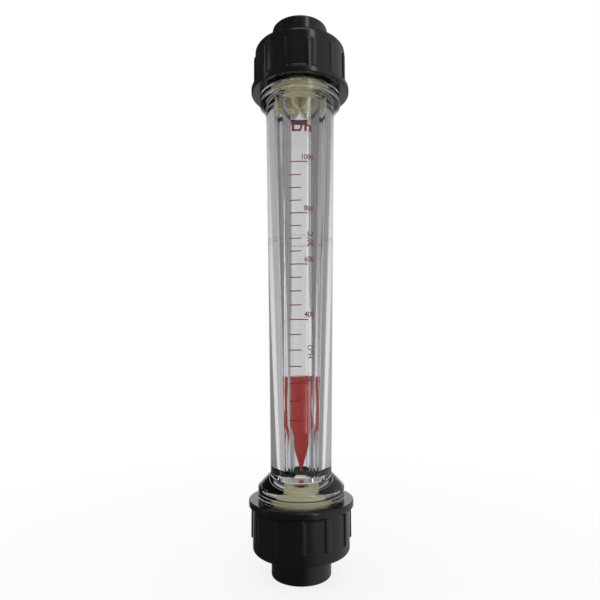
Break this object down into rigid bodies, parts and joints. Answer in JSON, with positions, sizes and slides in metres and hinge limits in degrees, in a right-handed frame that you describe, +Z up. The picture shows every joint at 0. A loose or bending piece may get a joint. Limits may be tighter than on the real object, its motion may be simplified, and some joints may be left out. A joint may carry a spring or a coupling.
{
  "type": "rotameter",
  "caption": "Clear tapered-tube flow meter with a red float between guide ribs, cream stops, a printed litres-per-hour scale and a black threaded union with pipe socket at each end.",
  "frame": {"origin": "centre of the lower (inlet) end face", "axes": "+Z up along the flow and the tube's axis, the scale faces -Y, +X to the right of someone reading it"},
  "size_m": [0.0618, 0.0618, 0.335],
  "materials": {
    "clear_plastic": "clear moulded styrene plastic with a faint smoky tint, polished",
    "cream_plastic": "moulded cream plastic, semi-gloss",
    "red_plastic": "turned and polished red plastic",
    "steel": "turned bar",
    "black_plastic": "gloss moulded rigid vinyl",
    "seal_rubber": "plain moulded"
  },
  "bodies": {
    "tube": {"measuring_tube": "clear_plastic", "upper_stop": "cream_plastic", "lower_stop": "cream_plastic"},
    "float": {"float_body": "red_plastic", "float_cap": "red_plastic", "float_ballast": "steel"},
    "outlet_tail": {"upper_socket": "black_plastic", "upper_o_ring": "seal_rubber"},
    "outlet_nut": {"upper_union_nut": "black_plastic"},
    "inlet_tail": {"lower_socket": "black_plastic", "lower_o_ring": "seal_rubber"},
    "inlet_nut": {"lower_union_nut": "black_plastic"}
  },
  "joints": [
    {"name": "float_lift", "type": "slide", "parent": "tube", "child": "float", "axis": [0, 0, 1], "range_m": [0, 0.165]},
    {"name": "outlet_draw", "type": "slide", "parent": "tube", "child": "outlet_tail", "axis": [0, 0, 1], "range_m": [0, 0.00925]},
    {"name": "outlet_nut_turn", "type": "hinge", "parent": "outlet_tail", "child": "outlet_nut", "pos_m": [0, 0, 0.3063], "axis": [0, 0, 1], "range_deg": [0, 1440]},
    {"name": "inlet_draw", "type": "slide", "parent": "tube", "child": "inlet_tail", "axis": [0, 0, -1], "range_m": [0, 0.00925]},
    {"name": "inlet_nut_turn", "type": "hinge", "parent": "inlet_tail", "child": "inlet_nut", "pos_m": [0, 0, 0.0287], "axis": [0, 0, -1], "range_deg": [0, 1440]}
  ],
  "couplings": [
    {"joint": "outlet_draw", "follows": "outlet_nut_turn", "m_per_rad": 0.00036749},
    {"joint": "inlet_draw", "follows": "inlet_nut_turn", "m_per_rad": 0.00036749}
  ]
}
